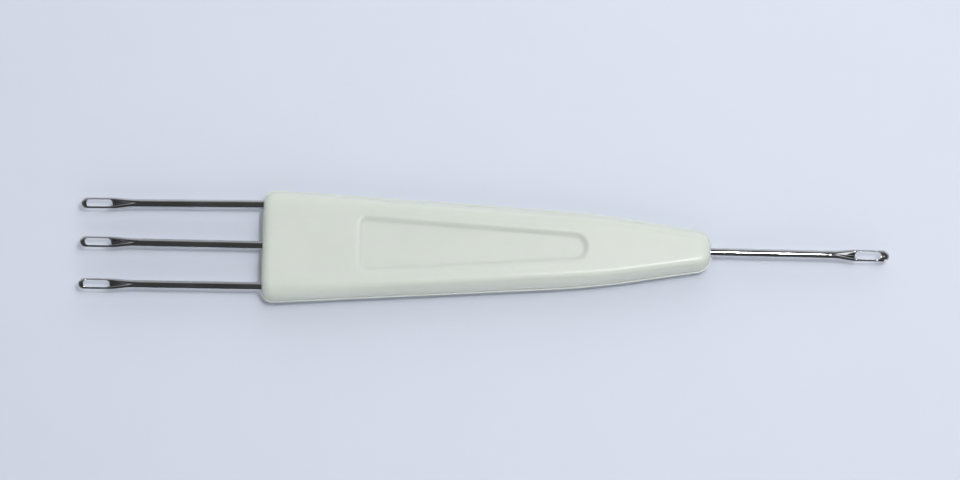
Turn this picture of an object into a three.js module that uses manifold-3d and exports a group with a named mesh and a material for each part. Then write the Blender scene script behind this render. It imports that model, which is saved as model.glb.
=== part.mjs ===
// Transfer tool for a knitting machine: a flat tapered handle in two moulded halves, three
// eyelet prongs at needle pitch in its wide end and one eyelet prong in its nose.
// Millimetres. X runs along the tool with the single prong at +X, Y across it, Z up.
// The origin is at the bottom centre of the whole tool, on the face that it lies on.

import * as THREE from "three";
import * as BufferGeometryUtils from "three/addons/utils/BufferGeometryUtils.js";
import Module from "manifold-3d";

// Prongs
const needlePitch = 6.5;
const wireDiameter = 1.4;
const tripleReach = 28.35;
const singleReach = 27.65;
const tripleRowOffset = 0.1; // the row of three stands a little towards +Y
const singleOffset = -0.1;
const upperLean = -0.004; // sideways millimetres for each millimetre outside the handle
const middleLean = 0.009;
const lowerLean = 0.004;
const singleLean = -0.01;
const tailLength = 14.5;
const anchorWidth = 2.3;
const anchorThickness = 0.86;
const anchorLength = 3;
const anchorToTailEnd = 1.5;
const channelClearance = 0.06;

// Eyes, measured back from the tip
const tripleEye = { tipBridge: 0.85, slotLength: 4, slotWidth: 1.12, grooveLength: 4.4 };
const singleEye = { tipBridge: 1.3, slotLength: 4, slotWidth: 1.22, grooveLength: 4.1 };
const eyeRimWidth = 0.33;
const eyeThickness = 0.95;
const eyeTaperLength = 3.5;
const tipBlunt = 0.12; // share of the head's section left flat at the very tip
const slotEdgeRound = 0.1;
const grooveFloorAtSlot = 0.2; // metal left under the groove where it meets the slot
const grooveFloorShare = 0.3; // width of the groove's floor as a share of its mouth
const grooveEndWidth = 0.08;

// Handle
const handleLength = 70.05;
const handleThickness = 5.1;
const prongToHandleSide = 2.52;
const shoulderFromRear = 51.5;
const shoulderWidth = 11.85;
const shoulderBlendLength = 13.5;
const noseWidth = 6;
const rearCornerRadius = 2.15;
const rearEdgeRadius = 1.5;
const noseCornerRadius = 2.0;
const noseEdgeRadius = 1.5;
const faceInsetRear = 1.35; // from the seam in to the edge of the face
const faceInsetShoulder = 1.2;
const faceInsetNose = 1.05;
const faceShoulderFromRear = 53.5;
const faceShoulderBlendLength = 6;
const seamLandHeight = 0.25;
const seamLedgeWidth = 0.22;
const sideCrownAngle = 7; // degrees that the side turns from its middle to either end
// How far the rounded edge of the face reaches over the face and down the side
const softEdge = { onFace: 1.4, onSide: 1.2 };
const crispEdge = { onFace: 1.15, onSide: 0.35 };
const crispFromRear = 28;

// Recessed panel in each face
const panelFromRear = 14.7;
const panelLength = 36.5;
const panelBorderRear = 1.75; // from the edge of the face in to the top of the panel's wall
const panelBorderNose = 1.9;
const panelDepth = 0.45;
const panelWallRun = 1.45;
const panelRearCornerRadius = 2;
const panelNoseCornerRadius = 2.5;

// Inside the halves
const wallThickness = 1.5;
const corePocketDepth = 0.9;
const corePocketCount = 3;
const corePocketCornerRadius = 0.8;
const ribThickness = 1.3;
const postDiameter = 1.9;
const postHeight = 1.2;
const postClearance = 0.15;
const postRoot = 0.5;
const rearPostsFromRear = 8;
const nosePostGap = 0.8;

const halfThickness = handleThickness / 2;
const handleRear = (tripleReach - handleLength - singleReach) / 2;
const rearWidth = 2 * (needlePitch + prongToHandleSide);
const ringPoints = 16;
const arcSteps = 6;
const sideSteps = 4;
const wallSteps = 8;
const taperSteps = 8;
const creaseAngle = Math.PI / 7;
const cutOvershoot = 0.2; // how far a cutter reaches past the surface that it opens
const leastStep = 0.2; // least distance between two sections of the handle
const cornerShare = 0.95; // most of a pocket's half width that its corner may take
const edgeShare = 0.9; // most of a face or side that the rounded edge between them may take

const plastic = { color: 0xdde3dc, roughness: 0.42, metalness: 0 };
const steel = { color: 0xb9bcc0, roughness: 0.22, metalness: 1 };

const wasm = await Module();
wasm.setup();

function solidFrom(geometry) {
  const bare = geometry.clone();
  bare.deleteAttribute("normal");
  bare.deleteAttribute("uv");
  const merged = BufferGeometryUtils.mergeVertices(bare, 1e-5);
  const mesh = new wasm.Mesh({
    numProp: 3,
    vertProperties: new Float32Array(merged.attributes.position.array),
    triVerts: new Uint32Array(merged.index.array),
  });
  return new wasm.Manifold(mesh);
}

function geometryFrom(solid) {
  const mesh = solid.getMesh();
  const geometry = new THREE.BufferGeometry();
  geometry.setAttribute("position", new THREE.BufferAttribute(mesh.vertProperties, 3));
  geometry.setIndex(new THREE.BufferAttribute(mesh.triVerts, 1));
  return BufferGeometryUtils.toCreasedNormals(geometry, creaseAngle);
}

// A closed solid through convex rings that turn anticlockwise about the way they advance.
function loft(rings) {
  const count = rings[0].length;
  const lastRing = (rings.length - 1) * count;
  const indices = [];
  for (let start = 0; start < lastRing; start += count) {
    for (let step = 0; step < count; step += 1) {
      const a = start + step;
      const b = start + ((step + 1) % count);
      indices.push(a, b, b + count, a, b + count, a + count);
    }
  }
  for (let step = 1; step + 1 < count; step += 1) {
    indices.push(0, step + 1, step, lastRing, lastRing + step, lastRing + step + 1);
  }
  const geometry = new THREE.BufferGeometry();
  const points = rings.flat().flatMap((point) => point.toArray());
  geometry.setAttribute("position", new THREE.Float32BufferAttribute(points, 3));
  geometry.setIndex(indices);
  return solidFrom(geometry);
}

function smooth(share) {
  const t = THREE.MathUtils.clamp(share, 0, 1);
  return t * t * (3 - 2 * t);
}

// How far a quarter-round edge has still to rise at a distance from the end it rounds.
function quarterRoundDrop(radius, distance) {
  const left = Math.max(radius - distance, 0);
  return radius - Math.sqrt(radius * radius - left * left);
}

// Distances from an end that follow a quarter round evenly.
function quarterRoundSteps(radius) {
  return Array.from({ length: arcSteps + 1 }, (_, step) => {
    return radius * (1 - Math.cos((step / arcSteps) * (Math.PI / 2)));
  });
}

// Half the width at x of an outline that tapers from the rear to a shoulder and on to the nose.
function taperedHalfWidth({ rear, shoulder, nose, shoulderX, blend }, x) {
  const rearSlope = (shoulder - rear) / shoulderX;
  const noseSlope = (nose - shoulder) / (handleLength - shoulderX);
  const intoBlend = THREE.MathUtils.clamp(x - shoulderX + blend / 2, 0, blend);
  const pastBlend = Math.max(x - shoulderX - blend / 2, 0);
  const bend = (intoBlend * intoBlend) / (2 * blend) + pastBlend;
  return rear + rearSlope * x + (noseSlope - rearSlope) * bend;
}

const seamOutline = {
  rear: rearWidth / 2,
  shoulder: shoulderWidth / 2,
  nose: noseWidth / 2,
  shoulderX: shoulderFromRear,
  blend: shoulderBlendLength,
};

// Half the handle's width at the seam, without its end corners.
function seamHalfWidth(x) {
  return taperedHalfWidth(seamOutline, x);
}

const faceOutline = {
  rear: rearWidth / 2 - faceInsetRear,
  shoulder: seamHalfWidth(faceShoulderFromRear) - faceInsetShoulder,
  nose: noseWidth / 2 - faceInsetNose,
  shoulderX: faceShoulderFromRear,
  blend: faceShoulderBlendLength,
};

// How far the side leans in from the seam to the edge of the face.
function faceInset(x) {
  return seamHalfWidth(x) - taperedHalfWidth(faceOutline, x);
}

// Section of one half at x from the handle's rear end, from the seam round to the seam.
// The half above the seam has side 1, and the one below it side -1.
function handleRing(x, side, trim) {
  const fromRear = x - trim;
  const fromNose = handleLength - trim - x;
  const corner = quarterRoundDrop(rearCornerRadius, fromRear)
    + quarterRoundDrop(noseCornerRadius, fromNose);
  const edge = quarterRoundDrop(rearEdgeRadius, fromRear)
    + quarterRoundDrop(noseEdgeRadius, fromNose);
  const width = seamHalfWidth(x) - corner - trim;
  const height = halfThickness - edge;
  const lean = faceInset(x) / (halfThickness - seamLandHeight);
  const crown = THREE.MathUtils.degToRad(sideCrownAngle);
  const rise = height - seamLandHeight;
  const shoulder = width - lean * rise;
  const leanAtFace = Math.atan(lean) + crown;
  const crispness = smooth(x / crispFromRear);
  const onFace = Math.min(
    THREE.MathUtils.lerp(softEdge.onFace, crispEdge.onFace, crispness), edgeShare * shoulder);
  const onSide = Math.min(
    THREE.MathUtils.lerp(softEdge.onSide, crispEdge.onSide, crispness), edgeShare * rise);
  const sideFoot = new THREE.Vector2(width, seamLandHeight);
  const sideTop = new THREE.Vector2(
    shoulder + onSide * Math.sin(leanAtFace), height - onSide * Math.cos(leanAtFace));
  const along = sideTop.clone().sub(sideFoot);
  const outward = new THREE.Vector2(along.y, -along.x).multiplyScalar(Math.tan(crown) / 2);
  const middle = sideFoot.clone().addScaledVector(along, 1 / 2).add(outward);
  const flank = new THREE.QuadraticBezierCurve(sideFoot, middle, sideTop);
  const edgeOfFace = new THREE.QuadraticBezierCurve(
    sideTop, new THREE.Vector2(shoulder, height), new THREE.Vector2(shoulder - onFace, height));
  const right = [
    [width, 0],
    ...flank.getPoints(sideSteps).slice(0, -1).map((point) => point.toArray()),
    ...edgeOfFace.getPoints(arcSteps).map((point) => point.toArray()),
  ];
  const left = right.map(([y, z]) => [-y, z]).reverse();
  return [...right, ...left].map(([y, z]) => {
    return new THREE.Vector3(handleRear + x, side * y, halfThickness + side * z);
  });
}

function handleStations(trim) {
  const rear = quarterRoundSteps(Math.max(rearCornerRadius, rearEdgeRadius));
  const nose = quarterRoundSteps(Math.max(noseCornerRadius, noseEdgeRadius));
  const blendStart = shoulderFromRear - shoulderBlendLength / 2;
  const faceBlendStart = faceShoulderFromRear - faceShoulderBlendLength / 2;
  const softSteps = Array.from({ length: arcSteps }, (_, step) => {
    return ((step + 1) / arcSteps) * crispFromRear;
  });
  const blendSteps = Array.from({ length: arcSteps + 1 }, (_, step) => {
    return blendStart + (step / arcSteps) * shoulderBlendLength;
  });
  const faceBlendSteps = Array.from({ length: arcSteps + 1 }, (_, step) => {
    return faceBlendStart + (step / arcSteps) * faceShoulderBlendLength;
  });
  const rearStations = rear.map((distance) => trim + distance);
  const noseStations = nose.map((distance) => handleLength - trim - distance).reverse();
  const middle = [...softSteps, ...blendSteps, ...faceBlendSteps].filter((x) => {
    return x > rearStations.at(-1) + leastStep && x < noseStations[0] - leastStep;
  });
  return [...rearStations, ...middle.sort((a, b) => a - b), ...noseStations];
}

function handleShell(side, trim) {
  return loft(handleStations(trim).map((x) => handleRing(x, side, trim)));
}

// Rounded trapezoid in plan, narrowing towards the nose, at one height.
function trapezoidRing({ rear, nose, rearHalf, noseHalf, rearRadius, noseRadius }, shrink, z) {
  const ring = [];
  const corners = [
    [nose - shrink, noseHalf - shrink, noseRadius - shrink, 1, 1],
    [rear + shrink, rearHalf - shrink, rearRadius - shrink, -1, 1],
    [rear + shrink, rearHalf - shrink, rearRadius - shrink, -1, -1],
    [nose - shrink, noseHalf - shrink, noseRadius - shrink, 1, -1],
  ];
  for (const [index, [x, half, wanted, endways, sideways]] of corners.entries()) {
    const radius = Math.min(wanted, cornerShare * half);
    for (let step = 0; step <= arcSteps; step += 1) {
      const angle = (index + step / arcSteps) * (Math.PI / 2);
      ring.push(new THREE.Vector3(
        handleRear + x - endways * radius + radius * Math.cos(angle),
        sideways * (half - radius) + radius * Math.sin(angle),
        z));
    }
  }
  return ring;
}

function panelOutline() {
  const nose = panelFromRear + panelLength;
  return {
    rear: panelFromRear,
    nose,
    rearHalf: taperedHalfWidth(faceOutline, panelFromRear) - panelBorderRear,
    noseHalf: taperedHalfWidth(faceOutline, nose) - panelBorderNose,
    rearRadius: panelRearCornerRadius,
    noseRadius: panelNoseCornerRadius,
  };
}

// The recess, cut with a wall that curves down from the face, is steep in its middle and
// curves out again to the floor.
function panelCutter(side) {
  const outline = panelOutline();
  const levels = [{ shrink: -cutOvershoot, height: halfThickness + cutOvershoot / 2 }];
  for (let step = 0; step <= wallSteps; step += 1) {
    const share = step / wallSteps;
    const height = halfThickness - panelDepth * smooth(smooth(share));
    levels.unshift({ shrink: share * panelWallRun, height });
  }
  const rings = levels.map(({ shrink, height }) => {
    return trapezoidRing(outline, shrink, halfThickness + side * height);
  });
  return loft(side > 0 ? rings : rings.reverse());
}

// Pockets that core out the middle of each half, with ribs between them.
function corePocketCutters() {
  const nosePostEnd = handleLength - tailLength - nosePostGap;
  const first = tailLength + nosePostGap + ribThickness;
  const last = nosePostEnd - postDiameter - nosePostGap - ribThickness;
  const pitch = (last - first + ribThickness) / corePocketCount;
  const halfAt = (x) => seamHalfWidth(x) - faceInset(x) / 2 - wallThickness;
  return Array.from({ length: corePocketCount }, (_, index) => {
    const rear = first + index * pitch;
    const nose = rear + pitch - ribThickness;
    const outline = {
      rear,
      nose,
      rearHalf: halfAt(rear),
      noseHalf: halfAt(nose),
      rearRadius: corePocketCornerRadius,
      noseRadius: corePocketCornerRadius,
    };
    return loft([
      trapezoidRing(outline, 0, halfThickness - corePocketDepth),
      trapezoidRing(outline, 0, halfThickness + corePocketDepth),
    ]);
  });
}

// Round post at the seam that reaches down into the lower half, rooted in the upper one.
function post(x, y, clearance) {
  const radius = postDiameter / 2 + clearance;
  const length = postRoot + postHeight + clearance;
  const geometry = new THREE.CylinderGeometry(radius, radius, length, ringPoints);
  geometry.rotateX(Math.PI / 2);
  geometry.translate(handleRear + x, y, halfThickness + postRoot - length / 2);
  return solidFrom(geometry);
}

function locatingPosts(clearance) {
  const nosePostX = handleLength - tailLength - nosePostGap - postDiameter / 2;
  return [
    post(rearPostsFromRear, tripleRowOffset + needlePitch / 2, clearance),
    post(rearPostsFromRear, tripleRowOffset - needlePitch / 2, clearance),
    post(nosePostX, 0, clearance),
  ];
}

// Section of a prong at a distance from the handle's end, positive outside the handle.
// Both ends of the handle use the same code: ahead is -1 at the wide end and 1 at the nose.
function prongRing(prong, distance, halfWidth, halfHeight) {
  const sideways = prong.y + prong.lean * Math.max(distance, 0);
  const ring = [];
  for (let step = 0; step < ringPoints; step += 1) {
    const angle = (step / ringPoints) * 2 * Math.PI;
    ring.push(new THREE.Vector3(
      prong.endX + prong.ahead * distance,
      sideways + prong.ahead * halfWidth * Math.cos(angle),
      halfThickness + halfHeight * Math.sin(angle)));
  }
  return ring;
}

// The tail inside the handle: plain wire, with a flattened anchor near its end.
function tailRings(prong, clearance) {
  const wire = wireDiameter / 2 + clearance;
  const wide = anchorWidth / 2 + clearance;
  const thin = anchorThickness / 2 + clearance;
  const anchorEnd = -tailLength + anchorToTailEnd;
  const anchorStart = anchorEnd + anchorLength;
  const swell = anchorLength / 4;
  return [
    prongRing(prong, -tailLength - clearance, wire, wire),
    prongRing(prong, anchorEnd, wire, wire),
    prongRing(prong, anchorEnd + swell, wide, thin),
    prongRing(prong, anchorStart - swell, wide, thin),
    prongRing(prong, anchorStart, wire, wire),
  ];
}

// The wire outside the handle, its taper into the flattened head, and the rounded tip.
function headRings(prong) {
  const { reach, eye } = prong;
  const wire = wireDiameter / 2;
  const headHalfWidth = eye.slotWidth / 2 + eyeRimWidth;
  const headHalfHeight = eyeThickness / 2;
  const slotEnd = eye.tipBridge + eye.slotLength;
  const rings = [prongRing(prong, 0, wire, wire)];
  for (let step = 0; step <= taperSteps; step += 1) {
    const share = step / taperSteps;
    const fromTip = slotEnd + (1 - share) * eyeTaperLength;
    const halfWidth = THREE.MathUtils.lerp(wire, headHalfWidth, smooth(share));
    const halfHeight = THREE.MathUtils.lerp(wire, headHalfHeight, smooth(share));
    rings.push(prongRing(prong, reach - fromTip, halfWidth, halfHeight));
  }
  for (const fromTip of quarterRoundSteps(headHalfWidth).reverse()) {
    const round = Math.sqrt(1 - (1 - fromTip / headHalfWidth) ** 2);
    const share = Math.max(round, tipBlunt);
    rings.push(prongRing(prong, reach - fromTip, headHalfWidth * share, headHalfHeight * share));
  }
  return rings;
}

// Slot through the head, a little wider at both faces where its edges are rounded off.
function slotCutter(prong) {
  const { reach, eye, lean, y, endX, ahead } = prong;
  const straight = eye.slotLength - eye.slotWidth;
  const middle = reach - eye.tipBridge - eye.slotLength / 2;
  const centreY = y + lean * middle;
  const levels = [
    [-eyeThickness / 2 - cutOvershoot, slotEdgeRound + cutOvershoot],
    [-eyeThickness / 2 + slotEdgeRound, 0],
    [eyeThickness / 2 - slotEdgeRound, 0],
    [eyeThickness / 2 + cutOvershoot, slotEdgeRound + cutOvershoot],
  ];
  const rings = levels.map(([height, widen]) => {
    const radius = eye.slotWidth / 2 + Math.min(widen, eyeRimWidth / 2);
    const ring = [];
    for (const end of [1, -1]) {
      for (let step = 0; step <= arcSteps; step += 1) {
        const angle = (step / arcSteps - 0.5) * Math.PI + (end > 0 ? 0 : Math.PI);
        ring.push(new THREE.Vector3(
          endX + ahead * middle + (end * straight) / 2 + radius * Math.cos(angle),
          centreY + radius * Math.sin(angle),
          halfThickness + height));
      }
    }
    return ring;
  });
  return loft(rings);
}

// Groove in the upper side that falls steeply into the slot and runs out to a point on the wire.
function grooveCutter(prong) {
  const { reach, eye, lean, y, endX, ahead } = prong;
  const slotEnd = eye.tipBridge + eye.slotLength;
  const floorAtSlot = -eyeThickness / 2 + grooveFloorAtSlot;
  const mouth = eye.slotWidth / 2;
  const top = wireDiameter / 2 + cutOvershoot;
  const rings = [];
  for (let step = -1; step <= taperSteps; step += 1) {
    const share = Math.max(step / taperSteps, 0);
    const distance = reach - slotEnd - (step < 0 ? -mouth : share * eye.grooveLength);
    const open = THREE.MathUtils.lerp(mouth, grooveEndWidth / 2, share);
    const floor = THREE.MathUtils.lerp(wireDiameter / 2, floorAtSlot, (1 - share) ** 2);
    const centreY = y + lean * distance;
    const bottom = grooveFloorShare * open;
    const section = [[-bottom, floor], [bottom, floor], [open, floor + open - bottom],
      [open, top + open], [-open, top + open], [-open, floor + open - bottom]];
    rings.push(section.map(([across, height]) => new THREE.Vector3(
      endX + ahead * distance, centreY - ahead * across, halfThickness + height)));
  }
  return loft(rings);
}

function prongSolid(prong) {
  return loft([...tailRings(prong, 0), ...headRings(prong)])
    .subtract(slotCutter(prong))
    .subtract(grooveCutter(prong));
}

// Channel for a prong, half of it in each half of the handle, open at the handle's end.
function channelCutter(prong) {
  const radius = wireDiameter / 2 + channelClearance;
  const outside = prongRing({ ...prong, lean: 0 }, 1, radius, radius);
  return loft([...tailRings(prong, channelClearance), outside]);
}

const wideEnd = { endX: handleRear, ahead: -1, reach: tripleReach, eye: tripleEye };
const noseEnd = { endX: handleRear + handleLength, ahead: 1, reach: singleReach, eye: singleEye };
const prongs = {
  triple_prong_upper: { ...wideEnd, y: tripleRowOffset + needlePitch, lean: upperLean },
  triple_prong_middle: { ...wideEnd, y: tripleRowOffset, lean: middleLean },
  triple_prong_lower: { ...wideEnd, y: tripleRowOffset - needlePitch, lean: lowerLean },
  single_prong: { ...noseEnd, y: singleOffset, lean: singleLean },
};

function handleHalf(side, trim) {
  const cutters = [
    panelCutter(side),
    ...corePocketCutters(),
    ...Object.values(prongs).map(channelCutter),
  ];
  return cutters.reduce((half, cutter) => half.subtract(cutter), handleShell(side, trim));
}

const upperHalf = locatingPosts(0).reduce(
  (half, peg) => half.add(peg), handleHalf(1, seamLedgeWidth));
const lowerHalf = locatingPosts(postClearance).reduce(
  (half, socket) => half.subtract(socket), handleHalf(-1, 0));

const tool = new THREE.Group();

function addPiece(name, solid, finish) {
  const mesh = new THREE.Mesh(geometryFrom(solid), new THREE.MeshStandardMaterial(finish));
  mesh.name = name;
  tool.add(mesh);
}

addPiece("handle_upper_half", upperHalf, plastic);
addPiece("handle_lower_half", lowerHalf, plastic);
for (const [name, prong] of Object.entries(prongs)) {
  addPiece(name, prongSolid(prong), steel);
}

export default tool;
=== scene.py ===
"""A double-ended transfer tool for a knitting machine, lying on pale paper and seen from above.

The frame gives the pieces' places and sizes. Lengths are in metres, and MM is one millimetre.
"""

import math

import bpy
from mathutils import Euler, Matrix, Vector


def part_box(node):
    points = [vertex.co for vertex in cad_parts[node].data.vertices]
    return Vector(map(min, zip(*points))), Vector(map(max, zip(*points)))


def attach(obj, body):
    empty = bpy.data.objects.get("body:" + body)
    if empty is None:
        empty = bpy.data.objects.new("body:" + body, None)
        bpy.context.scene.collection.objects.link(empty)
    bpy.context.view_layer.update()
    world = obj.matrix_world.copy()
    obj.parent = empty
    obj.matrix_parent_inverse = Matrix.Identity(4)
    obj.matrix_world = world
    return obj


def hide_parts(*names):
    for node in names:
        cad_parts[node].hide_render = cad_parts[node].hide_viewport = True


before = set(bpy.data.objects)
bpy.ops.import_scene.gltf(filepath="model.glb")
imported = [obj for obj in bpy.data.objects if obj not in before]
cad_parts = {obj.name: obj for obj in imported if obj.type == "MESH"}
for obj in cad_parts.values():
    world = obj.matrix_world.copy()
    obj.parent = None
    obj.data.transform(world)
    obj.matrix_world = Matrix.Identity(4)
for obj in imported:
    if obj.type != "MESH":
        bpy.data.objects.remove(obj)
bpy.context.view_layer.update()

MM = 0.001

# The frame of the tool
WIDE_END_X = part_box("handle_lower_half")[0][0]
NOSE_END_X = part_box("handle_lower_half")[1][0]
HANDLE_LENGTH = NOSE_END_X - WIDE_END_X
HALF_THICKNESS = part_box("handle_lower_half")[1][2]
NEEDLE_PITCH = 6.5 * MM
WIRE_RADIUS = 0.7 * MM

# Handle
REAR_WIDTH = 18.04 * MM
SHOULDER_WIDTH = 11.85 * MM
NOSE_WIDTH = 6 * MM
SHOULDER_FROM_REAR = 51.5 * MM
SHOULDER_BLEND = 13.5 * MM
FACE_INSET_REAR = 1.35 * MM
FACE_INSET_SHOULDER = 1.2 * MM
FACE_INSET_NOSE = 1.05 * MM
FACE_SHOULDER_FROM_REAR = 53.5 * MM
FACE_SHOULDER_BLEND = 6 * MM
REAR_CORNER = 2.15 * MM
REAR_EDGE = 1.5 * MM
NOSE_CORNER = 2.0 * MM
NOSE_EDGE = 1.5 * MM
SEAM_LAND = 0.25 * MM
SEAM_LEDGE = 0.22 * MM
SIDE_CROWN = math.radians(12)
SOFT_EDGE_ON_FACE = 1.4 * MM
SOFT_EDGE_ON_SIDE = 1.2 * MM
CRISP_EDGE_ON_FACE = 0.82 * MM
CRISP_EDGE_ON_SIDE = 0.35 * MM
CRISP_FROM_REAR = 28 * MM
EDGE_SHARE = 0.9
HANDLE_CREASE = math.radians(24)
COARSE_STEP = 0.3 * MM
NOSE_STEP = 0.25 * MM
FINE_STEP = 0.08 * MM

# Recessed panel
PANEL_REAR = 14.7 * MM
PANEL_NOSE = 51.2 * MM
PANEL_BORDER_REAR = 1.75 * MM
PANEL_BORDER_NOSE = 1.9 * MM
PANEL_DEPTH = 0.45 * MM
PANEL_WALL_RUN = 1.45 * MM
PANEL_REAR_CORNER = 2 * MM
PANEL_NOSE_CORNER = 2.5 * MM
LEAST_PANEL_WALL = 0.25 * MM

# Prongs: everything on an eye is measured back from the tip
TAIL_LENGTH = 14.5 * MM
ANCHOR_HALF_WIDTH = 1.15 * MM
ANCHOR_HALF_HEIGHT = 0.43 * MM
ANCHOR_LENGTH = 3 * MM
ANCHOR_TO_TAIL_END = 1.5 * MM
RIM_WIDTH = 0.33 * MM
RIM_ROUND = 0.12 * MM
HEAD_HALF_HEIGHT = 0.475 * MM
HEAD_TAPER = 3.5 * MM
GROOVE_FLOOR_METAL = 0.2 * MM
GROOVE_ROUND = 0.15
GROOVE_DEPTH_POWER = 1.4
GROOVE_END_HALF_WIDTH = 0.04 * MM
TRIPLE_EYE = {"bridge": 0.85 * MM, "slot": 4 * MM, "slot_width": 1.12 * MM, "groove": 4.4 * MM}
SINGLE_EYE = {"bridge": 1.3 * MM, "slot": 4 * MM, "slot_width": 1.22 * MM, "groove": 4.1 * MM}
TRIPLE_ROW_Y = 0.1 * MM
SINGLE_Y = -0.1 * MM
UPPER_LEAN = -0.004
MIDDLE_LEAN = 0.009
LOWER_LEAN = 0.004
SINGLE_LEAN = -0.01
PRONG_CREASE = math.radians(40)

# The photograph's frame
FRAME_WIDTH_PX = 960
PX_PER_MM = 6.42
TOOL_CENTRE_PX = (484.3, 249.0)
FRAME_CENTRE_PX = (480.0, 240.0)
CAMERA_DISTANCE = 420 * MM
CAMERA_TILT = math.radians(11)
CAMERA_ROLL = math.radians(0.74)
SENSOR_WIDTH = 36.0

# Plastic and steel
PLASTIC_DARKER = (0.555, 0.596, 0.55, 1)
PLASTIC_LIGHTER = (0.578, 0.615, 0.57, 1)
PLASTIC_ROUGHNESS = (0.282, 0.29)
STEEL_DARKER = (0.60, 0.605, 0.615, 1)
STEEL_LIGHTER = (0.69, 0.695, 0.71, 1)
STEEL_ROUGHNESS = (0.07, 0.15)

# Paper: random blotches of tone, plus a painted light falloff that makes its colour darker towards the
# left and the near side
PAPER_PAINTED_SHADE_AND_DARK_BLOTCH = (0.555, 0.591, 0.675, 1)
PAPER_PAINTED_LIGHT_AND_LIGHT_BLOTCH = (0.608, 0.648, 0.735, 1)
PAPER_HALF_SIZE = 1.5
PAPER_PAINTED_FALLOFF_X = (-75 * MM, 75 * MM)
PAPER_PAINTED_FALLOFF_Y = (-37 * MM, 37 * MM)
PAPER_PAINTED_LIGHT_SHARE_X = 0.65
PAPER_PAINTED_LIGHT_SHARE_Y = 0.2
PAPER_SHARE_BLOTCH = 0.15

# Lamps: degrees from straight up towards +X and towards +Y, distance, size and power in watts
KEY_LAMP = ((9.9, 0.5), 0.53, 0.06, 0.86)
KEY_COLOUR = (1.0, 0.995, 0.985)
SOFT_LAMPS = {
    "soft_top": ((14, 10), 0.42, 0.2, 0.6),
    "soft_far": ((0, 55), 0.7, 0.6, 1.95),
    "soft_near": ((0, -55), 0.7, 0.6, 1.4),
    "soft_left": ((-55, 0), 0.7, 0.6, 0.6),
}
SOFT_COLOUR = (1.0, 1.0, 1.0)

# Room: each side's brightness, and the span of a direction's X, Y or Z where it comes or goes
ROOM_COLOUR = (0.97, 0.985, 1.0, 1)
ROOM_DARK = 0.055
ROOM_RIGHT = 0.42
ROOM_LEFT = 0.08
ROOM_FAR = 0.5
ROOM_NEAR_RIGHT = 0.9
LOW_GOES_Z = (0.4, 0.6)
RIGHT_COMES_X = (0.16, 0.36)
LEFT_GOES_X = (-0.5, -0.2)
FAR_GOES_Z = (0.35, 0.8)
FAR_COMES_Y = (0.3, 0.6)
NEAR_RIGHT_COMES_X = (0.2, 0.36)
NEAR_RIGHT_GOES_Y = (-0.65, -0.45)


def smooth(share):
    t = min(max(share, 0.0), 1.0)
    return t * t * (3 - 2 * t)


def lerp(a, b, share):
    return a + (b - a) * share


def soft_least(first, second, blend):
    """The smaller of two heights, with the corner where they cross rounded off."""
    near = max(blend - abs(first - second), 0.0) / blend
    return min(first, second) - near * near * blend / 4


def round_drop(radius, distance):
    """How far a quarter-round edge has still to rise at a distance from the end it rounds."""
    left = min(max(radius - distance, 0.0), radius)
    return radius - math.sqrt(radius * radius - left * left)


def round_steps(radius, count):
    """Distances from an end that follow a quarter round evenly."""
    return [radius * (1 - math.cos(step / count * math.pi / 2)) for step in range(count + 1)]


def mesh_object(name, vertices, faces, material, crease):
    mesh = bpy.data.meshes.new(name)
    mesh.from_pydata(vertices, [], faces)
    mesh.materials.append(material)
    mesh.shade_smooth()
    mesh.set_sharp_from_angle(angle=crease)
    mesh.validate()
    piece = bpy.data.objects.new(name, mesh)
    bpy.context.scene.collection.objects.link(piece)
    return piece


# Handle


def tapered_half_width(rear, shoulder, nose, shoulder_x, blend, x):
    """Half the width at x of an outline that tapers to a shoulder and then on to the nose."""
    rear_slope = (shoulder - rear) / shoulder_x
    nose_slope = (nose - shoulder) / (HANDLE_LENGTH - shoulder_x)
    into_blend = min(max(x - shoulder_x + blend / 2, 0.0), blend)
    past_blend = max(x - shoulder_x - blend / 2, 0.0)
    bend = into_blend * into_blend / (2 * blend) + past_blend
    return rear + rear_slope * x + (nose_slope - rear_slope) * bend


def seam_half_width(x):
    return tapered_half_width(
        REAR_WIDTH / 2, SHOULDER_WIDTH / 2, NOSE_WIDTH / 2, SHOULDER_FROM_REAR, SHOULDER_BLEND, x)


def face_half_width(x):
    """Half the width between the edges of the face, where it would meet the sides unrounded."""
    rear = REAR_WIDTH / 2 - FACE_INSET_REAR
    shoulder = seam_half_width(FACE_SHOULDER_FROM_REAR) - FACE_INSET_SHOULDER
    nose = NOSE_WIDTH / 2 - FACE_INSET_NOSE
    return tapered_half_width(
        rear, shoulder, nose, FACE_SHOULDER_FROM_REAR, FACE_SHOULDER_BLEND, x)


def panel_half_width(x):
    """Half the panel's width at x between its straight sides, without its rounded corners."""
    rear_half = face_half_width(PANEL_REAR) - PANEL_BORDER_REAR
    nose_half = face_half_width(PANEL_NOSE) - PANEL_BORDER_NOSE
    return lerp(rear_half, nose_half, (x - PANEL_REAR) / (PANEL_NOSE - PANEL_REAR))


def panel_end(x):
    """Distance in from the panel's nearer end, and the radius of the corners there."""
    if x < (PANEL_REAR + PANEL_NOSE) / 2:
        return x - PANEL_REAR, PANEL_REAR_CORNER
    return PANEL_NOSE - x, PANEL_NOSE_CORNER


def inside_panel(x, y):
    """Distance from a point of the face to the panel's rounded outline, positive inside it."""
    to_side = panel_half_width(x) - abs(y)
    to_end, corner = panel_end(x)
    if to_side < corner and to_end < corner:
        return corner - math.hypot(corner - to_side, corner - to_end)
    return min(to_side, to_end)


def panel_drop(x, y):
    return PANEL_DEPTH * smooth(smooth(inside_panel(x, y) / PANEL_WALL_RUN))


def panel_line(x, inset):
    """Half width at x of the line that runs inside the panel's outline by an inset."""
    to_end, corner = panel_end(x)
    half = panel_half_width(x)
    past_corner = corner - max(to_end, inset)
    if past_corner <= 0:
        return half - inset
    radius = corner - inset
    return half - corner + math.sqrt(max(radius * radius - past_corner * past_corner, 0.0))


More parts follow.
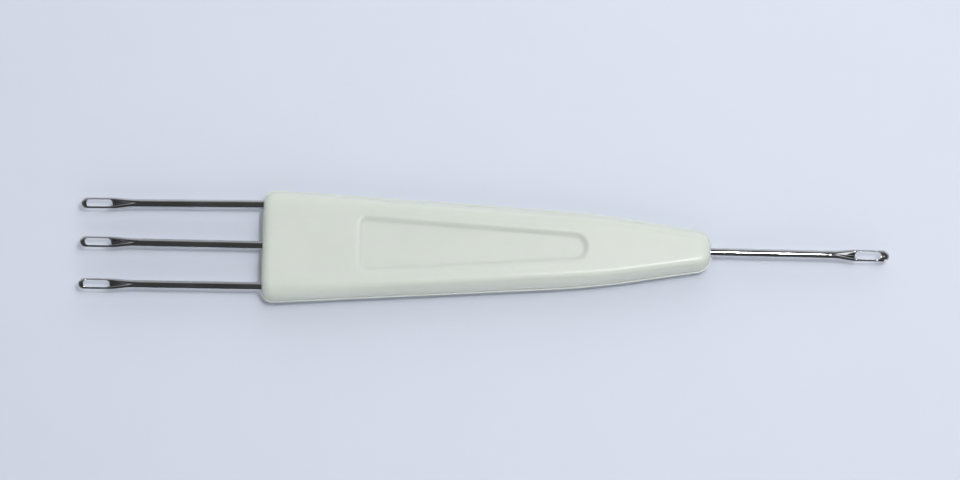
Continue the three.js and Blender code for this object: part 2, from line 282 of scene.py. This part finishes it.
def face_points(x, edge):
    """Places across the face at x, from its edge to the middle, with lines that follow the panel."""
    wall_steps = 16
    floor_steps = 14
    rim_steps = 8
    widest_foot = 0.9 * edge
    widest_outline = 0.97 * edge
    place = min(max(x, PANEL_REAR), PANEL_NOSE)
    foot = min(panel_line(place, PANEL_WALL_RUN), widest_foot)
    outline = min(max(panel_line(place, 0.0), foot + LEAST_PANEL_WALL), widest_outline)
    points = [lerp(edge, outline, step / rim_steps) for step in range(rim_steps)]
    points += [lerp(outline, foot, step / wall_steps) for step in range(wall_steps)]
    points += [foot * (1 - step / floor_steps) for step in range(floor_steps + 1)]
    return points


def curve_point(first, middle, last, share):
    """A point of the curve that leaves the first point and meets the last one towards the middle."""
    return first.lerp(middle, share).lerp(middle.lerp(last, share), share)


def handle_section(x, side, trim):
    """Points (y, z) of one half's section, from the seam over the face to the seam."""
    from_rear = x - trim
    from_nose = HANDLE_LENGTH - trim - x
    corner = round_drop(REAR_CORNER, from_rear) + round_drop(NOSE_CORNER, from_nose)
    edge = round_drop(REAR_EDGE, from_rear) + round_drop(NOSE_EDGE, from_nose)
    width = seam_half_width(x) - corner - trim
    height = HALF_THICKNESS - edge
    lean = (seam_half_width(x) - face_half_width(x)) / (HALF_THICKNESS - SEAM_LAND)
    rise = height - SEAM_LAND
    shoulder = width - lean * rise
    lean_at_face = math.atan(lean) + SIDE_CROWN
    crispness = smooth(x / CRISP_FROM_REAR)
    on_face = min(lerp(SOFT_EDGE_ON_FACE, CRISP_EDGE_ON_FACE, crispness), EDGE_SHARE * shoulder)
    on_side = min(lerp(SOFT_EDGE_ON_SIDE, CRISP_EDGE_ON_SIDE, crispness), EDGE_SHARE * rise)
    foot = Vector((width, SEAM_LAND))
    top = Vector((
        shoulder + on_side * math.sin(lean_at_face), height - on_side * math.cos(lean_at_face)))
    along = top - foot
    outward = Vector((along.y, -along.x)) * math.tan(SIDE_CROWN) / 2
    middle = foot + along / 2 + outward
    corner_of_face = Vector((shoulder, height))
    flat_edge = Vector((shoulder - on_face, height))
    side_steps = 12
    edge_steps = 14
    right = [(width, 0.0)]
    for step in range(side_steps):
        right.append(tuple(curve_point(foot, middle, top, step / side_steps)))
    for step in range(edge_steps):
        right.append(tuple(curve_point(top, corner_of_face, flat_edge, step / edge_steps)))
    across = face_points(x, flat_edge.x)
    flat = [(y, height - panel_drop(x, y)) for y in across]
    flat += [(-y, z) for y, z in reversed(flat[:-1])]
    left = [(-y, z) for y, z in reversed(right)]
    return [(side * y, side * z) for y, z in right + flat + left]


def handle_stations(trim):
    """Places along the handle for its sections, closest together at its ends and the panel's."""
    rear_steps = 14
    nose_steps = 12
    rear = [trim + d for d in round_steps(max(REAR_CORNER, REAR_EDGE), rear_steps)]
    nose = [
        HANDLE_LENGTH - trim - d for d in round_steps(max(NOSE_CORNER, NOSE_EDGE), nose_steps)]
    nose.reverse()
    stations = rear[:-1]
    runs = [
        (rear[-1], PANEL_REAR, COARSE_STEP),
        (PANEL_REAR, PANEL_REAR + PANEL_REAR_CORNER, FINE_STEP),
        (PANEL_REAR + PANEL_REAR_CORNER, PANEL_NOSE - PANEL_NOSE_CORNER, COARSE_STEP),
        (PANEL_NOSE - PANEL_NOSE_CORNER, PANEL_NOSE, FINE_STEP),
        (PANEL_NOSE, nose[0], NOSE_STEP),
    ]
    for first, last, step_length in runs:
        steps = math.ceil((last - first) / step_length)
        stations += [lerp(first, last, step / steps) for step in range(steps)]
    return stations + nose


def handle_half(name, side, trim, material):
    """The upper half for side 1 and the lower one for side -1, trimmed inwards along the seam."""
    stations = handle_stations(trim)
    vertices = []
    faces = []
    for x in stations:
        for y, z in handle_section(x, side, trim):
            vertices.append((WIDE_END_X + x, y, HALF_THICKNESS + z))
    count = len(vertices) // len(stations)
    for station in range(len(stations) - 1):
        start = station * count
        for point in range(count):
            a = start + point
            b = start + (point + 1) % count
            faces.append((a, b, b + count, a + count))
    last = (len(stations) - 1) * count
    faces.append(tuple(reversed(range(count))))
    faces.append(tuple(range(last, last + count)))
    return mesh_object(name, vertices, faces, material, HANDLE_CREASE)


# Prongs


def prong_profile(eye, reach):
    """Stations along a prong as (distance from the handle's end, half width, half height)."""
    head_half_width = eye["slot_width"] / 2 + RIM_WIDTH
    slot_end = eye["bridge"] + eye["slot"]
    anchor_end = -TAIL_LENGTH + ANCHOR_TO_TAIL_END
    anchor_start = anchor_end + ANCHOR_LENGTH
    swell = ANCHOR_LENGTH / 4
    swell_steps = 8
    stations = [(-TAIL_LENGTH, WIRE_RADIUS, WIRE_RADIUS)]
    for start, swelling in ((anchor_end, True), (anchor_start - swell, False)):
        for step in range(swell_steps + 1):
            part = step / swell_steps
            share = smooth(part if swelling else 1 - part)
            stations.append((
                start + swell * step / swell_steps,
                lerp(WIRE_RADIUS, ANCHOR_HALF_WIDTH, share),
                lerp(WIRE_RADIUS, ANCHOR_HALF_HEIGHT, share)))
    taper_start = reach - slot_end - HEAD_TAPER
    groove_start = reach - slot_end - eye["groove"]
    slot_start = reach - slot_end
    cap_start = reach - head_half_width
    wire_steps = 40
    groove_steps = 100
    slot_end_steps = 14
    slot_steps = 50
    tip_steps = 30
    least_gap = 0.001 * MM
    slot_end_rounding = round_steps(eye["slot_width"] / 2, slot_end_steps)
    places = [lerp(0.0, groove_start, step / wire_steps) for step in range(wire_steps)]
    places += [
        lerp(groove_start, slot_start, step / groove_steps) for step in range(groove_steps)]
    places += [slot_start + d for d in slot_end_rounding]
    places += [reach - eye["bridge"] - d for d in slot_end_rounding]
    straight_start = slot_start + eye["slot_width"] / 2
    straight_end = reach - eye["bridge"] - eye["slot_width"] / 2
    places += [
        lerp(straight_start, straight_end, step / slot_steps) for step in range(1, slot_steps)]
    places += [reach - from_tip for from_tip in round_steps(head_half_width, tip_steps)[1:]]
    for place in sorted(places):
        share = smooth((place - taper_start) / HEAD_TAPER)
        half_width = lerp(WIRE_RADIUS, head_half_width, share)
        half_height = lerp(WIRE_RADIUS, HEAD_HALF_HEIGHT, share)
        left = max((place - cap_start) / head_half_width, 0.0)
        rounding = math.sqrt(1 - left * left)
        if place - stations[-1][0] > least_gap:
            stations.append((place, half_width * rounding, half_height * rounding))
    return stations


def slot_half_width(eye, from_tip):
    half = eye["slot_width"] / 2
    to_bridge = from_tip - eye["bridge"]
    to_groove = eye["bridge"] + eye["slot"] - from_tip
    if min(to_bridge, to_groove) <= 0:
        return 0.0
    return half - round_drop(half, min(to_bridge, to_groove))


def along_groove(eye, from_tip):
    """Place along the groove behind the eye: 0 where it meets the slot and 1 at its far end."""
    return (from_tip - eye["bridge"] - eye["slot"]) / eye["groove"]


def groove_height(eye, from_tip, across):
    """Height of the groove's wall or floor at a place across it, or None where there is no groove."""
    share = along_groove(eye, from_tip)
    if share > 1 or share < -eye["slot_width"] / 2 / eye["groove"]:
        return None
    share = max(share, 0.0)
    mouth = lerp(eye["slot_width"] / 2, GROOVE_END_HALF_WIDTH, share)
    deepest = -HEAD_HALF_HEIGHT + GROOVE_FLOOR_METAL
    floor = lerp(WIRE_RADIUS, deepest, (1 - share) ** GROOVE_DEPTH_POWER)
    surface = lerp(WIRE_RADIUS, HEAD_HALF_HEIGHT, smooth(1 - share))
    rise = math.hypot(across / mouth, GROOVE_ROUND) - GROOVE_ROUND
    return lerp(floor, surface, rise)


def section_places(eye, from_tip, half_width, slot):
    """Places across half a section, from its edge to the slot, or to the middle where there is none."""
    rim_steps = 16
    inner_steps = 16
    widest_divide = 0.8 * half_width
    share = min(max(along_groove(eye, from_tip), 0.0), 1.0)
    mouth = lerp(eye["slot_width"] / 2, 0.0, share)
    divide = min(max(mouth, slot) + RIM_ROUND, widest_divide)
    turns = [math.pi / 2 * step / rim_steps for step in range(1, rim_steps + 1)]
    rim = [lerp(divide, half_width, math.cos(turn)) for turn in turns]
    return rim + [lerp(divide, slot, step / inner_steps) for step in range(1, inner_steps + 1)]


def section_heights(eye, from_tip, half_width, half_height, slot, across):
    """Heights of a prong's upper and lower surface at a place across one of its sections."""
    rounding = math.sqrt(max(1 - (across / half_width) ** 2, 0.0))
    upper = half_height * rounding
    lower = -half_height * rounding
    if slot > 0:
        drop = round_drop(RIM_ROUND, across - slot)
        upper -= drop
        lower += drop
    groove = groove_height(eye, from_tip, across)
    if groove is not None:
        lowest = lower + GROOVE_FLOOR_METAL / 2
        upper = soft_least(upper, max(groove, lowest), RIM_ROUND)
    return upper, lower


def add_slot_walls(rows, vertices):
    """Mark the rows at the slot, and give each the vertices of its walls, from top to bottom."""
    wall_steps = 5
    for row, after in zip(rows, rows[1:], strict=False):
        row["walled"] = row["slot"] > 0 or after["slot"] > 0
        after["walled_before"] = row["walled"]
    for row in rows:
        if not (row.get("walled") or row.get("walled_before")):
            continue
        for sign in (1, -1):
            top = row[sign]["upper"][-1]
            bottom = row[sign]["lower"][-1]
            if row["slot"] <= 0 and sign < 0:
                row[sign]["wall"] = row[1]["wall"]
                continue
            wall = [top]
            for step in range(1, wall_steps):
                place = Vector(vertices[top]).lerp(Vector(vertices[bottom]), step / wall_steps)
                vertices.append(tuple(place))
                wall.append(len(vertices) - 1)
            row[sign]["wall"] = wall + [bottom]


def section_ring(row):
    """The vertices all round a section, each of them once."""
    return (
        row[1]["upper"] + row[-1]["upper"][-2::-1] + row[-1]["lower"][1:-1]
        + row[1]["lower"][:0:-1])


def prong(name, node, ahead, end_x, y, eye, lean, material):
    """One prong as an upper and a lower surface on each side, joined by walls round the slot.

    It points along X by the sign of ahead, and its middle moves sideways by lean for each length.
    """
    tip_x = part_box(node)[0][0] if ahead < 0 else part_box(node)[1][0]
    reach = abs(tip_x - end_x)
    vertices = []
    faces = []

    def vertex(distance, across, height):
        sideways = y + lean * max(distance, 0.0)
        vertices.append((end_x + ahead * distance, sideways + across, HALF_THICKNESS + height))
        return len(vertices) - 1

    def face(*corners):
        faces.append(tuple(reversed(corners)) if ahead > 0 else corners)

    def strip(first, second, turned):
        for k in range(len(first) - 1):
            quad = (first[k], first[k + 1], second[k + 1], second[k])
            face(*(reversed(quad) if turned else quad))

    rows = []
    for distance, half_width, half_height in prong_profile(eye, reach)[:-1]:
        from_tip = reach - distance
        slot = slot_half_width(eye, from_tip)
        places = section_places(eye, from_tip, half_width, slot)
        row = {"slot": slot}
        for sign in (1, -1):
            shares_middle = slot <= 0 and sign < 0
            upper = [vertex(distance, sign * half_width, 0.0)]
            lower = list(upper)
            for across in places[:-1] if shares_middle else places:
                high, low = section_heights(
                    eye, from_tip, half_width, half_height, slot, across)
                upper.append(vertex(distance, sign * across, high))
                lower.append(vertex(distance, sign * across, low))
            if shares_middle:
                upper.append(row[1]["upper"][-1])
                lower.append(row[1]["lower"][-1])
            row[sign] = {"upper": upper, "lower": lower}
        rows.append(row)
    add_slot_walls(rows, vertices)
    for row, after in zip(rows, rows[1:], strict=False):
        for sign in (1, -1):
            strip(row[sign]["upper"], after[sign]["upper"], sign > 0)
            strip(row[sign]["lower"], after[sign]["lower"], sign < 0)
            if row["walled"]:
                strip(row[sign]["wall"], after[sign]["wall"], sign > 0)
    face(*section_ring(rows[0]))
    tip = vertex(reach, 0.0, 0.0)
    ring = section_ring(rows[-1])
    for k, corner in enumerate(ring):
        face(corner, tip, ring[(k + 1) % len(ring)])
    return mesh_object(name, vertices, faces, material, PRONG_CREASE)


# Materials


def new_material(name):
    material = bpy.data.materials.new(name)
    material.use_nodes = True
    tree = material.node_tree
    tree.nodes.clear()
    output = tree.nodes.new("ShaderNodeOutputMaterial")
    shader = tree.nodes.new("ShaderNodeBsdfPrincipled")
    tree.links.new(shader.outputs["BSDF"], output.inputs["Surface"])
    return material, tree, shader


def object_noise(tree, scale, detail, roughness=0.5, stretch=(1, 1, 1)):
    """Noise in the object's own coordinates, drawn out along an axis whose stretch is below 1."""
    coordinates = tree.nodes.new("ShaderNodeTexCoord")
    mapping = tree.nodes.new("ShaderNodeMapping")
    mapping.inputs["Scale"].default_value = stretch
    noise = tree.nodes.new("ShaderNodeTexNoise")
    noise.inputs["Scale"].default_value = scale
    noise.inputs["Detail"].default_value = detail
    noise.inputs["Roughness"].default_value = roughness
    tree.links.new(coordinates.outputs["Object"], mapping.inputs["Vector"])
    tree.links.new(mapping.outputs["Vector"], noise.inputs["Vector"])
    return noise.outputs["Fac"]


def ranged(tree, source, low, high, span=(0.3, 0.7)):
    """A value that goes from low to high while its source crosses a span; the default suits noise."""
    node = tree.nodes.new("ShaderNodeMapRange")
    node.inputs["From Min"].default_value = span[0]
    node.inputs["From Max"].default_value = span[1]
    node.inputs["To Min"].default_value = low
    node.inputs["To Max"].default_value = high
    tree.links.new(source, node.inputs["Value"])
    return node.outputs["Result"]


def combined(tree, operation, first, second):
    node = tree.nodes.new("ShaderNodeMath")
    node.operation = operation
    for socket, value in zip(node.inputs, (first, second), strict=False):
        if isinstance(value, float):
            socket.default_value = value
        else:
            tree.links.new(value, socket)
    return node.outputs["Value"]


def product(tree, first, second):
    return combined(tree, "MULTIPLY", first, second)


def total(tree, first, *others):
    for other in others:
        first = combined(tree, "ADD", first, other)
    return first


def mixed_colour(tree, factor, first, second):
    """A mix of two colours, on the sockets that a Mix node has for colours."""
    factor_in, first_in, second_in, colour_out = 0, 6, 7, 2
    node = tree.nodes.new("ShaderNodeMix")
    node.data_type = "RGBA"
    node.inputs[first_in].default_value = first
    node.inputs[second_in].default_value = second
    tree.links.new(factor, node.inputs[factor_in])
    return node.outputs[colour_out]


def bump(tree, height, distance, before=None):
    """A relief of a given depth in metres, laid over an earlier relief where there is one."""
    node = tree.nodes.new("ShaderNodeBump")
    node.inputs["Strength"].default_value = 1.0
    node.inputs["Distance"].default_value = distance
    tree.links.new(height, node.inputs["Height"])
    if before:
        tree.links.new(before, node.inputs["Normal"])
    return node.outputs["Normal"]


def plastic_material():
    material, tree, shader = new_material("satin_plastic")
    cloud = object_noise(tree, scale=90, detail=3)
    grain = object_noise(tree, scale=2600, detail=2)
    swirl = object_noise(tree, scale=300, detail=4, roughness=0.65, stretch=(0.3, 1, 1))
    colour = mixed_colour(tree, ranged(tree, cloud, 0, 1), PLASTIC_DARKER, PLASTIC_LIGHTER)
    tree.links.new(colour, shader.inputs["Base Color"])
    tree.links.new(ranged(tree, swirl, *PLASTIC_ROUGHNESS), shader.inputs["Roughness"])
    relief = bump(tree, cloud, distance=0.01 * MM)
    relief = bump(tree, grain, distance=0.0015 * MM, before=relief)
    tree.links.new(relief, shader.inputs["Normal"])
    shader.inputs["IOR"].default_value = 1.5
    shader.inputs["Specular IOR Level"].default_value = 0.32
    shader.inputs["Subsurface Weight"].default_value = 0.55
    shader.inputs["Subsurface Radius"].default_value = (0.9, 1.0, 0.8)
    shader.inputs["Subsurface Scale"].default_value = 1.8 * MM
    return material


def steel_material():
    material, tree, shader = new_material("polished_steel")
    drawn = object_noise(tree, scale=5200, detail=3, stretch=(0.02, 1, 1))
    stain = object_noise(tree, scale=420, detail=4, roughness=0.6, stretch=(0.4, 1, 1))
    colour = mixed_colour(tree, ranged(tree, stain, 0, 1), STEEL_DARKER, STEEL_LIGHTER)
    tree.links.new(colour, shader.inputs["Base Color"])
    tree.links.new(ranged(tree, stain, *STEEL_ROUGHNESS), shader.inputs["Roughness"])
    tree.links.new(bump(tree, drawn, distance=0.0006 * MM), shader.inputs["Normal"])
    shader.inputs["Metallic"].default_value = 1.0
    return material


def paper_material():
    """Paper with random blotches and a painted light falloff: its colour gets a little lighter towards
    the right and the far side, standing in for the light's falloff.
    """
    material, tree, shader = new_material("pale_paper")
    blotch = object_noise(tree, scale=55, detail=4, roughness=0.6)
    fibre = object_noise(tree, scale=900, detail=3, roughness=0.6)
    coordinates = tree.nodes.new("ShaderNodeTexCoord")
    parts = tree.nodes.new("ShaderNodeSeparateXYZ")
    tree.links.new(coordinates.outputs["Object"], parts.inputs["Vector"])
    # Painted shade and light: the ramps in X and Y darken the paper's colour towards the left and the
    # near side; the blotch is random tone
    painted_light_and_blotch = total(
        tree,
        ranged(tree, parts.outputs["X"], 0.0, PAPER_PAINTED_LIGHT_SHARE_X, PAPER_PAINTED_FALLOFF_X),
        ranged(tree, parts.outputs["Y"], 0.0, PAPER_PAINTED_LIGHT_SHARE_Y, PAPER_PAINTED_FALLOFF_Y),
        ranged(tree, blotch, 0.0, PAPER_SHARE_BLOTCH))
    colour = mixed_colour(tree, painted_light_and_blotch, PAPER_PAINTED_SHADE_AND_DARK_BLOTCH, PAPER_PAINTED_LIGHT_AND_LIGHT_BLOTCH)
    tree.links.new(colour, shader.inputs["Base Color"])
    tree.links.new(bump(tree, fibre, distance=0.01 * MM), shader.inputs["Normal"])
    shader.inputs["Roughness"].default_value = 0.95
    shader.inputs["Specular IOR Level"].default_value = 0.1
    return material


# Stage


def paper_floor(material):
    half = PAPER_HALF_SIZE
    corners = [(-half, -half, 0), (half, -half, 0), (half, half, 0), (-half, half, 0)]
    floor = mesh_object("paper_floor", corners, [(0, 1, 2, 3)], material, math.radians(35))


def square_lamp(name, direction_deg, distance, size, power, colour):
    """A lamp seen from the tool at angles from straight up: towards +X, then towards +Y."""
    data = bpy.data.lights.new(name, "AREA")
    data.shape = "SQUARE"
    data.size = size
    data.energy = power
    data.color = colour
    lamp = bpy.data.objects.new(name, data)
    bpy.context.scene.collection.objects.link(lamp)
    slope_x, slope_y = (math.tan(math.radians(angle)) for angle in direction_deg)
    away = Vector((slope_x, slope_y, 1)).normalized()
    lamp.location = away * distance
    lamp.rotation_euler = away.to_track_quat("Z", "Y").to_euler()
    return lamp


def room_world():
    """A room that is dark overhead, where the photographer stands, and brighter to the sides."""
    world = bpy.data.worlds.new("room")
    world.use_nodes = True
    tree = world.node_tree
    tree.nodes.clear()
    output = tree.nodes.new("ShaderNodeOutputWorld")
    background = tree.nodes.new("ShaderNodeBackground")
    coordinates = tree.nodes.new("ShaderNodeTexCoord")
    parts = tree.nodes.new("ShaderNodeSeparateXYZ")
    tree.links.new(coordinates.outputs["Generated"], parts.inputs["Vector"])
    x = parts.outputs["X"]
    y = parts.outputs["Y"]
    z = parts.outputs["Z"]
    low = ranged(tree, z, 1.0, 0.0, LOW_GOES_Z)
    right = product(tree, ranged(tree, x, 0.0, ROOM_RIGHT, RIGHT_COMES_X), low)
    left = product(tree, ranged(tree, x, ROOM_LEFT, 0.0, LEFT_GOES_X), low)
    horizon = ranged(tree, z, ROOM_FAR, 0.0, FAR_GOES_Z)
    far = product(tree, horizon, ranged(tree, y, 0.0, 1.0, FAR_COMES_Y))
    near = ranged(tree, y, 1.0, 0.0, NEAR_RIGHT_GOES_Y)
    near_right = product(tree, ranged(tree, x, 0.0, ROOM_NEAR_RIGHT, NEAR_RIGHT_COMES_X), near)
    brightness = total(tree, right, left, far, near_right, ROOM_DARK)
    tree.links.new(brightness, background.inputs["Strength"])
    background.inputs["Color"].default_value = ROOM_COLOUR
    tree.links.new(background.outputs["Background"], output.inputs["Surface"])
    bpy.context.scene.world = world


def photo_camera():
    """A view almost straight down, from a little to the near side, with the tool slightly turned."""
    data = bpy.data.cameras.new("camera")
    data.sensor_width = SENSOR_WIDTH
    field_width = FRAME_WIDTH_PX / PX_PER_MM * MM
    data.lens = SENSOR_WIDTH * CAMERA_DISTANCE / field_width
    data.clip_start = 10 * MM
    camera = bpy.data.objects.new("camera", data)
    bpy.context.scene.collection.objects.link(camera)
    right_px = FRAME_CENTRE_PX[0] - TOOL_CENTRE_PX[0]
    up_px = TOOL_CENTRE_PX[1] - FRAME_CENTRE_PX[1]
    turn = Matrix.Rotation(CAMERA_ROLL, 3, "Z")
    offset = turn @ Vector((right_px, up_px, 0)) / PX_PER_MM * MM
    target = Vector((0, 0, HALF_THICKNESS)) + offset
    back = turn @ Vector((0, -math.sin(CAMERA_TILT), math.cos(CAMERA_TILT)))
    camera.location = target + back * CAMERA_DISTANCE
    camera.rotation_euler = Euler((CAMERA_TILT, 0, CAMERA_ROLL))
    bpy.context.scene.camera = camera


plastic = plastic_material()
steel = steel_material()

pieces = [
    (handle_half("upper_shell", 1, SEAM_LEDGE, plastic), "handle_upper_half", "handle_plastic"),
    (handle_half("lower_shell", -1, 0.0, plastic), "handle_lower_half", "handle_plastic"),
]
row_of_three = {
    "upper": (TRIPLE_ROW_Y + NEEDLE_PITCH, UPPER_LEAN),
    "middle": (TRIPLE_ROW_Y, MIDDLE_LEAN),
    "lower": (TRIPLE_ROW_Y - NEEDLE_PITCH, LOWER_LEAN),
}
for name, (y, lean) in row_of_three.items():
    node = f"triple_prong_{name}"
    piece = prong(f"{name}_eyelet_prong", node, -1, WIDE_END_X, y, TRIPLE_EYE, lean, steel)
    pieces.append((piece, node, "prong_steel"))
nose_prong = prong(
    "nose_eyelet_prong", "single_prong", 1, NOSE_END_X, SINGLE_Y, SINGLE_EYE, SINGLE_LEAN, steel)
pieces.append((nose_prong, "single_prong", "prong_steel"))
for piece, node, slot in pieces:
    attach(piece, "root")
    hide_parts(node)

paper_floor(paper_material())
square_lamp("key", *KEY_LAMP, KEY_COLOUR)
for name, values in SOFT_LAMPS.items():
    lamp = square_lamp(name, *values, SOFT_COLOUR)
    lamp.visible_glossy = False
room_world()
photo_camera()
scene = bpy.context.scene
scene.view_settings.view_transform = "Standard"
